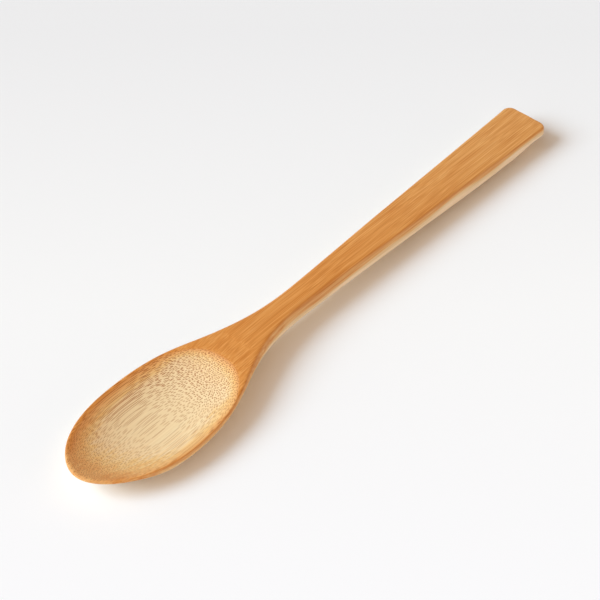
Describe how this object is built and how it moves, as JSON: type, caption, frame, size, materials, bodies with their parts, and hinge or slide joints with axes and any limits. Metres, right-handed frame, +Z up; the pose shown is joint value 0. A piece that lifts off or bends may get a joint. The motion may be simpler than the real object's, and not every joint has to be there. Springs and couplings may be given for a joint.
{
  "type": "curry spoon",
  "caption": "Bamboo table spoon with an oval bowl, a narrow neck and a flat-topped handle that flares to a square end with rounded corners, for eating curry and rice.",
  "frame": {"origin": "middle of the spoon's length and width, on the plane that it rests on", "axes": "+X along the spoon from the tip of the bowl to the end of the handle, +Y across, +Z up out of the open bowl"},
  "size_m": [0.195, 0.0334, 0.0096],
  "materials": {
    "face_bamboo": "amber bamboo, fine lengthwise fibres, thin satin clear coat",
    "back_bamboo": "pale bamboo, sparse dark fibre bundles, thin satin clear coat"
  },
  "bodies": {
    "root": {"face_lamella": "face_bamboo", "back_lamella": "back_bamboo"}
  },
  "joints": []
}
